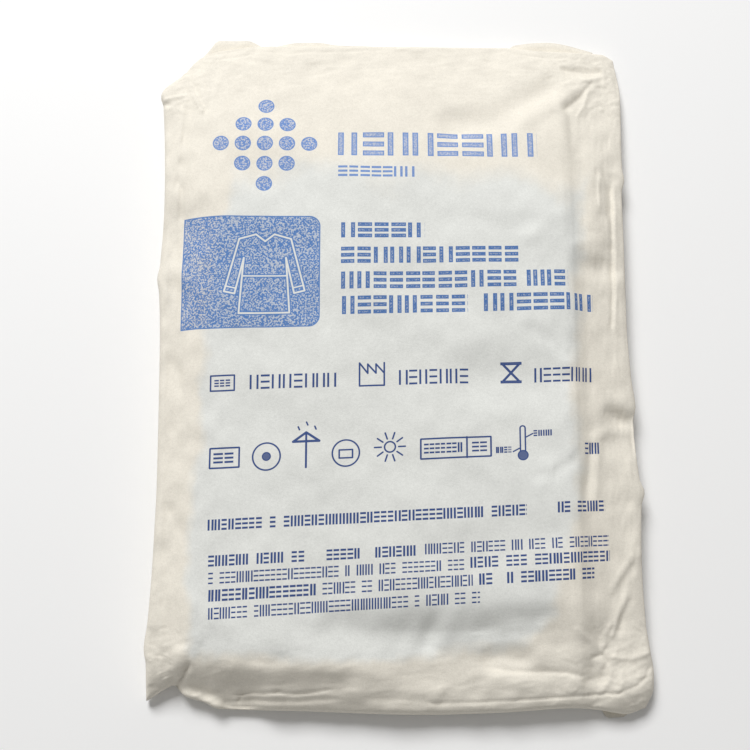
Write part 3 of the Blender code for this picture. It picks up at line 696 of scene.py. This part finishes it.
off_middle = abs(given["Along"] - given["Base"] - half_height)
in_upright = given["Line"] - to_side
in_level = given["Line"] * 0.5 - off_middle.step("PINGPONG", (given["Height"] - given["Line"]) * 0.25)
stroke = in_level + (in_upright - in_level) * kind_toss.step("GREATER_THAN", 0.58)
put_out(Inside=to_side.least(half_height - off_middle).least(stroke).least(shown * 100))


Row = namedtuple("Row", "name start end base height pitch line gaps", defaults=(0.0,))
HEADING_ROWS = [
    Row("heading", -29.9, 70.6, 103.8, 13.4, 12.55, 2.9),
    Row("heading, small", -29.7, 9.4, 91.7, 6.0, 5.6, 1.2),
]
TITLE_ROWS = [
    Row("title, first row", -28.0, 13.6, 58.3, 8.1, 8.3, 2.0),
    Row("title, second row", -28.0, 61.1, 44.7, 8.6, 8.1, 2.0),
    Row("title, third row", -27.9, 60.0, 31.4, 8.8, 8.0, 2.0),
    Row("title, third row's end", 63.5, 84.0, 31.4, 8.8, 6.8, 2.0),
    Row("title, last row", -27.4, 34.4, 18.4, 9.2, 7.7, 2.0),
    Row("title, last row's end", 42.2, 99.0, 18.6, 9.2, 8.1, 2.0),
]
SMALL_ROWS = [
    Row("in the plain box", -89.2, -80.9, -16.4, 3.4, 2.75, 0.75),
    Row("number", -72.0, -29.0, -18.2, 7.1, 5.37, 1.0),
    Row("first date", 0.4, 35.0, -18.1, 7.5, 4.94, 1.0),
    Row("second date", 66.4, 97.8, -18.6, 7.3, 4.48, 1.0),
    Row("in the framed box", -88.9, -78.2, -53.8, 5.0, 5.4, 1.0),
    Row("in the first cell", 12.3, 31.2, -53.6, 5.0, 2.7, 0.9),
    Row("in the second cell", 35.4, 43.2, -53.6, 5.0, 3.9, 0.9),
    Row("above the thermometer", 65.2, 74.4, -46.8, 3.2, 2.3, 0.75),
    Row("below the thermometer", 46.9, 54.6, -54.9, 3.2, 1.95, 0.75),
    Row("end number", 91.7, 100.2, -56.8, 6.0, 2.85, 0.9),
    Row("notice", -90.9, 61.2, -85.7, 5.2, 3.3, 1.0, 0.09),
    Row("notice's end", 75.9, 102.0, -85.3, 5.2, 3.25, 1.0, 0.08),
    Row("small print, first row", -90.3, 9.0, -102.7, 5.2, 3.3, 1.0, 0.09),
    Row("small print, first row's end", 12.5, 103.5, -102.3, 5.2, 2.75, 0.75, 0.11),
    Row("small print, second row", -90.1, 31.0, -110.9, 5.3, 2.7, 0.75, 0.1),
    Row("small print, second row's end", 34.0, 104.0, -110.2, 5.5, 3.4, 1.0, 0.08),
    Row("small print, third row", -89.8, -39.0, -119.1, 5.5, 3.2, 1.05, 0.09),
    Row("small print, third row's middle", -36.0, 35.0, -119.0, 5.5, 2.65, 0.75, 0.1),
    Row("small print, third row's end", 38.0, 95.5, -118.8, 5.6, 3.3, 1.05, 0.09),
    Row("small print, last row", -89.7, 38.3, -127.4, 5.4, 2.7, 0.75, 0.1),
]

Box = namedtuple("Box", "name across along half_width half_height corner line")
SUN = Box("sun", -4.0, -49.4, 3.0, 3.0, 3.0, 0.8)
SMALL_BOXES = [
    SUN,
    Box("plain box", -85.2, -14.7, 6.2, 4.1, 0.4, 0.8),
    Box("framed box", -83.5, -51.3, 7.5, 5.2, 0.6, 0.85),
    Box("ring", -63.3, -51.6, 7.0, 7.0, 7.0, 0.8),
    Box("ring's dot", -63.3, -51.6, 2.2, 2.2, 2.2, 50),
    Box("second ring", -25.2, -51.5, 6.9, 6.9, 6.9, 0.8),
    Box("crate in it", -25.2, -51.9, 3.6, 2.4, 0.4, 0.8),
    Box("two cells", 27.7, -51.2, 17.3, 5.4, 0.6, 0.85),
    Box("thermometer's stem", 60.0, -48.2, 1.6, 7.4, 1.6, 0.75),
    Box("thermometer's bulb", 60.0, -56.4, 2.7, 2.7, 2.7, 50),
    Box("hourglass's head", 55.1, -8.6, 5.2, 0.75, 0.2, 50),
    Box("hourglass's foot", 55.1, -17.9, 5.2, 0.75, 0.2, 50),
]

Line = namedtuple("Line", "name across along run_across run_along half_line")
SMALL_LINES = [
    Line("works, floor", -18.7, -18.1, 12.0, 0.0, 0.42),
    Line("works, left wall", -18.7, -18.1, 0.0, 11.4, 0.42),
    Line("works, right wall", -6.7, -18.1, 0.0, 11.4, 0.42),
    Line("works, first roof", -18.7, -6.7, 4.0, -5.2, 0.42),
    Line("works, first step", -14.7, -11.9, 0.0, 4.6, 0.42),
    Line("works, second roof", -14.7, -7.3, 4.0, -4.6, 0.42),
    Line("works, second step", -10.7, -11.9, 0.0, 4.6, 0.42),
    Line("works, third roof", -10.7, -7.3, 4.0, -4.6, 0.42),
    Line("hourglass, down", 51.2, -9.0, 7.8, -8.5, 0.6),
    Line("hourglass, up", 51.2, -17.5, 7.8, 8.5, 0.6),
    Line("umbrella, left", -50.6, -44.9, 6.3, 4.4, 0.6),
    Line("umbrella, right", -44.3, -40.5, 6.3, -4.4, 0.6),
    Line("umbrella, brim", -50.6, -44.9, 12.6, 0.0, 0.6),
    Line("umbrella, stick", -44.3, -40.5, 0.0, -17.2, 0.5),
    Line("first drop", -48.2, -37.6, 0.6, -1.4, 0.4),
    Line("second drop", -44.2, -35.4, 0.6, -1.4, 0.4),
    Line("third drop", -40.2, -37.6, 0.6, -1.4, 0.4),
    Line("cell wall", 33.0, -56.4, 0.0, 10.4, 0.42),
    Line("thermometer's mark, high", 61.8, -47.0, 3.0, 1.6, 0.35),
    Line("thermometer's mark, low", 55.3, -54.4, 3.0, 1.6, 0.35),
]
SUN_RAYS = 10

# The outline of a plain gown, half of it: its places are from the middle of its neck.
GOWN_MIDDLE, GOWN_NECK = -65.6, 61.4
GOWN_OUTLINE = [
    Line("neck", 0.0, -4.6, 4.6, 3.6, 0.45),
    Line("shoulder", 4.6, -1.0, 8.2, -2.4, 0.45),
    Line("sleeve, outside", 12.8, -3.4, 7.0, -27.0, 0.45),
    Line("cuff", 19.8, -30.4, -5.2, -1.2, 0.45),
    Line("cuff's seam", 19.3, -27.6, -4.9, -1.2, 0.36),
    Line("sleeve, inside", 14.6, -31.6, -4.2, 18.4, 0.45),
    Line("side", 10.4, -13.2, 2.0, -28.4, 0.45),
    Line("hem", 12.4, -41.6, -12.4, 0.0, 0.45),
    Line("belt", 0.0, -22.6, 11.0, 0.0, 0.36),
]

DOTS_MIDDLE = (-66.9, 110.2)
DOT_PITCH, DOT_HALF = 11.2, 4.1
PANEL = Box("panel", -83.0, 41.3, 44.7, 28.8, 5.5, 50)
PANEL_LEFT = -107.9  # it is cut off here
PATCHY_FROM, PATCHY_TO = -82, -104  # its ink gets patchy towards that end


def printed(across, along, rows=(), boxes=(), lines=()):
    """How far inside the nearest of these marks a place is."""
    kinds = [
        (row_print, ("Start", "End", "Base", "Height", "Pitch", "Line", "Gaps"), rows),
        (box_print, ("Middle Across", "Middle Along", "Half Width", "Half Height", "Corner", "Line"), boxes),
        (line_print, ("From Across", "From Along", "Run Across", "Run Along", "Half Line"), lines),
    ]
    total = None
    for mark, sockets, table in kinds:
        for _, *sizes in table:
            values = {"Across": across, "Along": along, **dict(zip(sockets, sizes))}
            inside = placed(across.tree, mark, values)["Inside"]
            total = inside if total is None else total.most(inside)
    return total


def dots(across, along):
    """A diamond of dots: one dot in each square of a grid, inside the diamond."""
    column, row_place = (across - DOTS_MIDDLE[0]) / DOT_PITCH, (along - DOTS_MIDDLE[1]) / DOT_PITCH
    nearest = column.step("ROUND"), row_place.step("ROUND")
    in_diamond = -(abs(nearest[0]) + abs(nearest[1])) + 2.5
    off = long(column - nearest[0], row_place - nearest[1]) * DOT_PITCH
    return (-off + DOT_HALF).least(in_diamond * 10)


def sun_rays(across, along):
    """The sun's rays, as one ray seen in every tenth of a turn."""
    east, north = across - SUN.across, along - SUN.along
    part = 2 * math.pi / SUN_RAYS
    turn = (north.step("ARCTAN2", east) / part + 0.5).step("FRACT")
    turn = (turn.step("WRAP", 1, 0) - 0.5) * part
    far = long(east, north)
    ray = Line("ray", 4.2, 0.0, 3.2, 0.0, 0.4)
    return printed(far * turn.step("COSINE"), far * turn.step("SINE"), lines=[ray])


INK_BLUR = 0.13  # how far ink creeps into the paper past a mark's edge
INK_RIM = 0.8  # the press squeezes ink out to the rim of a mark, so it is thin only further in


def inked(inside, thin):
    """The ink at a place this far inside a mark, thinner away from its rim."""
    return inside.ramp(-INK_BLUR, INK_BLUR) * (-inside.ramp(INK_RIM * 0.4, INK_RIM) * thin + 1)


def attribute(tree, name, output):
    """What a point attribute of the piece puts out."""
    node = tree.nodes.new("ShaderNodeAttribute")
    node.attribute_name = name
    return Value(tree, node.outputs[output])


def mixed(tree, share, first, second, how="MIX"):
    """A colour made of two, by a share from 0, the first, to 1, the second."""
    node = tree.nodes.new("ShaderNodeMix")
    node.data_type = "RGBA"
    node.blend_type = how
    feed(node.inputs[0], share)
    feed(node.inputs[6], first)
    feed(node.inputs[7], second)
    return Value(tree, node.outputs[2])


CREAM = (0.86, 0.813, 0.718, 1)
COOL = (0.80, 0.808, 0.775, 1)
PALE_INK = (0.13, 0.26, 0.60, 1)
BLUE_INK = (0.08, 0.21, 0.52, 1)
DEEP_INK = (0.028, 0.068, 0.235, 1)
FIBRE_RELIEF = 0.1


def paper_material(name, colour_of):
    """Uncoated paper, with its colour from a function of its tree and its place on the object."""
    made = bpy.data.materials.new(name)
    made.use_nodes = True
    tree = made.node_tree
    shader = tree.nodes["Principled BSDF"]
    place = Value(tree, tree.nodes.new("ShaderNodeTexCoord").outputs["Object"])
    fibres = placed(tree, fibre, {"Place": place})
    feed(shader.inputs["Base Color"], mixed(tree, 1.0, colour_of(tree, place), fibres["Tone"], "MULTIPLY"))
    feed(shader.inputs["Roughness"], fibres["Roughness"])
    shader.inputs["Specular IOR Level"].default_value = 0.35
    bump = tree.nodes.new("ShaderNodeBump")
    bump.inputs["Strength"].default_value = 0.6
    bump.inputs["Distance"].default_value = FIBRE_RELIEF * MM
    feed(bump.inputs["Height"], fibres["Height"])
    feed(shader.inputs["Normal"], Value(tree, bump.outputs["Normal"]))
    return made


def bare_colour(tree, place):
    """The colour of paper with no print: cool where the gown lies behind it, cream elsewhere."""
    return mixed(tree, attribute(tree, "backed", "Fac"), CREAM, COOL)


def printed_colour(tree, place):
    """The colour of the printed paper."""
    print_axes = tree.nodes.new("ShaderNodeSeparateXYZ")
    feed(print_axes.inputs["Vector"], attribute(tree, "print_place", "Vector"))
    across, along = Value(tree, print_axes.outputs["X"]), Value(tree, print_axes.outputs["Y"])
    gown_lines = printed(abs(across - GOWN_MIDDLE), along - GOWN_NECK, lines=GOWN_OUTLINE)
    panel = printed(across, along, boxes=[PANEL]).least(across - PANEL_LEFT).least(-gown_lines)
    speckle = noise(place, size=0.8, detail=3).ramp(0.46, 0.58)
    patchy = noise(place, size=8, detail=4).ramp(0.42, 0.66) * across.ramp(PATCHY_FROM, PATCHY_TO)
    heading = inked(printed(across, along, rows=HEADING_ROWS), speckle * 0.3 + 0.2)
    pale = heading.most(inked(dots(across, along), speckle * 0.62))
    titles = inked(printed(across, along, rows=TITLE_ROWS), speckle * 0.45)
    blue = titles.most(inked(panel, speckle * 0.64 + patchy * 0.12))
    deep = printed(across, along, rows=SMALL_ROWS, boxes=SMALL_BOXES, lines=SMALL_LINES)
    deep = inked(deep.most(sun_rays(across, along)), 0.1)
    colour = mixed(tree, pale * 0.97, bare_colour(tree, place), PALE_INK)
    colour = mixed(tree, blue * 0.98, colour, BLUE_INK)
    return mixed(tree, deep.most(titles * 0.3), colour, DEEP_INK)


printed_paper = paper_material("printed medical paper", printed_colour)

front = finished("front_sheet_paper", front_mesh, printed_paper, FRONT_THICKNESS)
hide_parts("front_sheet")
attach(front, "root")

# === Back sheet ===================================================================================
# The plain side of the tube, of the same paper. It lies flat under the gown, rises to the folds all
# round, and is tucked inside the front sheet's lap.

BACK_THICKNESS = 0.25
BACK_INSET = 1.5
BACK_CREASES = [
    Crease("left corner crease", 1.1, 4, [(-118, 120), (-104, 128), (-95, 140)], 0.8),
    Crease("left side crease", 0.9, 4, [(-117, 60), (-106, 55), (-102, 42)], 0.8),
    Crease("left middle crease", 0.8, 3.5, [(-116, -10), (-108, -16)], 0.8),
    Crease("left lower crease", 1.2, 4, [(-118, -100), (-106, -112), (-98, -126)], 0.8),
    Crease("right corner crease", 1.2, 4, [(114, 118), (102, 128), (92, 138)], 0.8),
    Crease("right side crease", 0.9, 4, [(113, 70), (103, 62), (100, 48)], 0.8),
    Crease("right middle crease", 1.0, 4, [(114, -30), (104, -36), (101, -50)], 0.8),
    Crease("right lower crease", 1.3, 4, [(116, -104), (104, -118), (96, -130)], 0.8),
]

at_edge = np.array([0, 0.8])
back_half = HALF_WIDTH - BACK_INSET
across = stations(-back_half, back_half, at_edge, border=32, fine=1.5, coarse=4.5)
along = stations(BOTTOM + BACK_INSET, TOP - BACK_INSET, at_edge, border=30, fine=1.5, coarse=4.5)
u, v = np.meshgrid(across, along)
x, y = plan(u, v)
base = laid_back(u, v)
risen = np.clip(base / 3, 0, 1)
creased = relief(x, y, BACK_CREASES)
creased += facets(x, y, span=10, height=0.2, seed=31) + facets(x, y, span=5, height=0.08, seed=32)
nearest_fold = np.minimum.reduce(inward_of(u, v))
loose = np.clip((nearest_fold - 2) / 4, 0, 1)
z = base + risen * loose * np.maximum(creased, -0.2)
back_mesh, (row, column) = sheet_mesh("back_sheet_paper", x, y, z)
keep(back_mesh, "backed", "FLOAT", (backed_by_gown(x, y) * (1 - risen))[row, column])
back_mesh.flip_normals()
plain_paper = paper_material("plain medical paper", bare_colour)
back_sheet = finished("back_sheet_paper", back_mesh, plain_paper, BACK_THICKNESS)
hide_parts("back_sheet")
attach(back_sheet, "root")

# === Sealed ends ==================================================================================
# The two ends of the tube, heat-sealed flat and folded behind it. Their edges show past the folds of the
# pouch as low bumps, and one corner sticks out at the lower right.

FLAP_THICKNESS = 0.6
FLAP_LIFT = 0.35
Rim = namedtuple("Rim", "across along")
TOP_FLAP_RIM = [
    Rim(-103, 164), Rim(-99, 168.5), Rim(-94, 174), Rim(-79, 174), Rim(-69, 170.2), Rim(-63, 171),
    Rim(-51, 173), Rim(-42, 173), Rim(-30, 171.5), Rim(4, 170.5), Rim(39, 169.4), Rim(58, 169),
    Rim(63, 171.6), Rim(80, 173), Rim(92, 171), Rim(105, 167),
]
BOTTOM_FLAP_RIM = [
    Rim(-83, -168), Rim(0, -168.4), Rim(97, -169), Rim(101, -174), Rim(109, -173.6), Rim(112.5, -170),
]
FLAP_ROWS = 14
FLAP_STEP = 1.5


def flap_sheet(name, rim, end, seed):
    """A sealed end: rows of points from its end under the pouch out to its uneven rim."""
    across = np.arange(rim[0].across, rim[-1].across, FLAP_STEP)
    share = np.linspace(0, 1, FLAP_ROWS)
    x, share = np.meshgrid(across, share)
    y = end + (read(rim, x) - end) * share
    z = FLAP_THICKNESS + FLAP_LIFT * np.clip(swells(x, y, span=12, height=0.5, seed=seed) + 0.4, 0, 1)
    mesh, _ = sheet_mesh(name, x, y, z)
    if rim[0].along < end:
        mesh.flip_normals()
    keep(mesh, "backed", "FLOAT", np.zeros(len(mesh.vertices)))
    return finished(name, mesh, plain_paper, FLAP_THICKNESS)


top_flap = flap_sheet("top_flap_paper", TOP_FLAP_RIM, TOP_FLAP_END, seed=41)
bottom_flap = flap_sheet("bottom_flap_paper", BOTTOM_FLAP_RIM, BOTTOM_FLAP_END, seed=42)
for flap, node, flat in ((top_flap, "top_flap", (0.208, 0.03)), (bottom_flap, "bottom_flap", (0.196, 0.015))):
    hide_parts(node)
    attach(flap, "root")

# === Folded gown ==================================================================================
# A reinforced gown of blue nonwoven fabric, folded into a stack of layers. It is sealed inside the
# pouch: its outermost wrap is made here, with the folded edges of its layers all round.

LAYERS = 5
GOWN_EDGES = {"left": -101.0, "right": 88.0, "bottom": -146.0, "top": 112.0}
GOWN_FOOT = 1.8
GOWN_SHOULDER = 12.0
GOWN_BULGE = 1.5
GOWN_CLOTH = 0.45
GOWN_CLEAR = 1.6  # between the gown's top and the paper
FOOT_INSET = 5.0  # the lowest layer's rounded edge
ROUND_FROM = 0.84  # the top rounds over to the sides from this share of its size
GOWN_POINTS = 132
GOWN_TOP_SHARES = [0.985, 0.96, 0.93, 0.89, 0.84, 0.77, 0.68, 0.58, 0.46, 0.33, 0.2, 0.08]


def gown_ring(share, inset):
    """Places round the folded gown's rounded rectangle, this far inside its full size."""
    turn = np.linspace(0, 2 * math.pi, GOWN_POINTS, endpoint=False)
    half_x = (GOWN_EDGES["right"] - GOWN_EDGES["left"]) / 2 - inset
    half_y = (GOWN_EDGES["top"] - GOWN_EDGES["bottom"]) / 2 - inset
    squareness = 8.0
    reach = (np.abs(np.cos(turn)) ** squareness + np.abs(np.sin(turn)) ** squareness) ** (-1 / squareness)
    middle_x = (GOWN_EDGES["right"] + GOWN_EDGES["left"]) / 2
    middle_y = (GOWN_EDGES["top"] + GOWN_EDGES["bottom"]) / 2
    return middle_x + share * half_x * reach * np.cos(turn), middle_y + share * half_y * reach * np.sin(turn)


def under_front(x, y):
    """The lowest the front sheet comes near these places."""
    around = [(0, 0), (5, 0), (-5, 0), (0, 5), (0, -5), (3.5, 3.5), (-3.5, 3.5), (3.5, -3.5), (-3.5, -3.5)]
    return np.minimum.reduce([domed(x + dx, y + dy) + relief(x + dx, y + dy, CREASES) for dx, dy in around])


rings = []
for level in range(4 * LAYERS + 1):
    climb = level / (4 * LAYERS)
    bulge = GOWN_BULGE * (1 - abs(math.sin(math.pi * LAYERS * climb)) ** 0.7)
    foot = FOOT_INSET * max(0.0, 1 - 7 * climb)
    ring_x, ring_y = gown_ring(1.0, bulge + foot)
    height = GOWN_FOOT + (GOWN_SHOULDER - GOWN_FOOT) * climb
    rings.append((ring_x, ring_y, np.full(GOWN_POINTS, height)))
for share in GOWN_TOP_SHARES:
    ring_x, ring_y = gown_ring(share, 0.0)
    ceiling = under_front(ring_x, ring_y) - GOWN_CLEAR
    round_over = math.sqrt(1 - max(0.0, (share - ROUND_FROM) / (1 - ROUND_FROM)) ** 2)
    height = GOWN_SHOULDER + (np.maximum(ceiling, GOWN_SHOULDER) - GOWN_SHOULDER) * round_over
    rings.append((ring_x, ring_y, np.minimum(height, ceiling)))

shape = bmesh.new()
loops = []
for ring in rings:
    verts = [shape.verts.new(Vector(place) * MM) for place in zip(*ring)]
    loops.append([shape.edges.new((a, b)) for a, b in zip(verts, verts[1:] + verts[:1])])
for lower, upper in zip(loops, loops[1:]):
    bmesh.ops.bridge_loops(shape, edges=lower + upper)
bmesh.ops.holes_fill(shape, edges=loops[0] + loops[-1], sides=0)
bmesh.ops.recalc_face_normals(shape, faces=shape.faces)
gown_mesh = bpy.data.meshes.new("folded_gown")
shape.to_mesh(gown_mesh)
shape.free()
gown_mesh.shade_smooth()

GOWN_BLUE = (0.20, 0.40, 0.62, 1)
GOWN_DEEP_BLUE = (0.10, 0.25, 0.46, 1)
BOND_PITCH = 1.1  # the fabric's filaments are welded in small dots this far apart
GOWN_RELIEF = 0.08
gown_fabric = bpy.data.materials.new("blue nonwoven fabric")
gown_fabric.use_nodes = True
tree = gown_fabric.node_tree
shader = tree.nodes["Principled BSDF"]
place = Value(tree, tree.nodes.new("ShaderNodeTexCoord").outputs["Object"])
bonds_scale = tree.nodes.new("ShaderNodeMapping")
bonds_scale.inputs["Scale"].default_value = [1 / (BOND_PITCH * MM)] * 3
feed(bonds_scale.inputs["Vector"], place)
bonds = tree.nodes.new("ShaderNodeTexVoronoi")
bonds.inputs["Scale"].default_value = 1
bonds.inputs["Randomness"].default_value = 0.15
feed(bonds.inputs["Vector"], Value(tree, bonds_scale.outputs["Vector"]))
bond = Value(tree, bonds.outputs["Distance"]).ramp(0.36, 0.24)
strands = noise(place, size=0.3, detail=2, stretch=(4, 1, 1))
strands = strands.most(noise(place, size=0.3, detail=2, stretch=(1, 4, 1)))
fabric_blue = mixed(tree, bond * 0.5 + strands * 0.4, GOWN_BLUE, GOWN_DEEP_BLUE)
feed(shader.inputs["Base Color"], fabric_blue)
feed(shader.inputs["Roughness"], strands * 0.2 + 0.6)
bump = tree.nodes.new("ShaderNodeBump")
bump.inputs["Strength"].default_value = 0.5
bump.inputs["Distance"].default_value = GOWN_RELIEF * MM
feed(bump.inputs["Height"], strands - bond * 0.7)
feed(shader.inputs["Normal"], Value(tree, bump.outputs["Normal"]))

gown = finished("folded_gown", gown_mesh, gown_fabric, GOWN_CLOTH)
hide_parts("gown")
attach(gown, "root")

# === Surface, light and camera ====================================================================
# A pale table top, a large soft lamp beyond the opening end and a view from a little below square on.

bpy.ops.mesh.primitive_plane_add(size=4, location=(0, 0, -0.0003))
table = bpy.context.object
table.name = "table_top"
pale_top = bpy.data.materials.new("pale table")
pale_top.use_nodes = True
pale_top.node_tree.nodes["Principled BSDF"].inputs["Base Color"].default_value = (0.97, 0.97, 0.97, 1)
table.data.materials.append(pale_top)

LAMP_PLACE = Vector((-0.7, 2.0, 2.35))
lamp = bpy.data.objects.new("soft lamp", bpy.data.lights.new("soft lamp", "AREA"))
lamp.data.energy = 88
lamp.data.size = 1.3
lamp.location = LAMP_PLACE
lamp.rotation_euler = LAMP_PLACE.to_track_quat("Z", "Y").to_euler()
bpy.context.scene.collection.objects.link(lamp)
sky = bpy.data.worlds.new("soft room light")
sky.use_nodes = True
sky.node_tree.nodes["Background"].inputs["Color"].default_value = (1, 0.99, 0.965, 1)
sky.node_tree.nodes["Background"].inputs["Strength"].default_value = 0.26
bpy.context.scene.world = sky
bpy.context.scene.view_settings.view_transform = "Standard"

VIEW_TILT = math.radians(10)
VIEW_DISTANCE = 0.62
VIEW_TARGET = Vector((-0.0112, -0.009, 0.018))
FOCAL_PIXELS = 1260
FRAME_PIXELS = 750
camera = bpy.data.objects.new("view", bpy.data.cameras.new("view"))
camera.data.sensor_width = 36
camera.data.lens = camera.data.sensor_width * FOCAL_PIXELS / FRAME_PIXELS
back = Vector((0, -math.sin(VIEW_TILT), math.cos(VIEW_TILT)))
right = Vector((1, 0, 0))
camera.matrix_world = Matrix.Translation(VIEW_TARGET + back * VIEW_DISTANCE) @ Matrix(
    (right, back.cross(right), back)
).transposed().to_4x4()
bpy.context.scene.collection.objects.link(camera)
bpy.context.scene.camera = camera
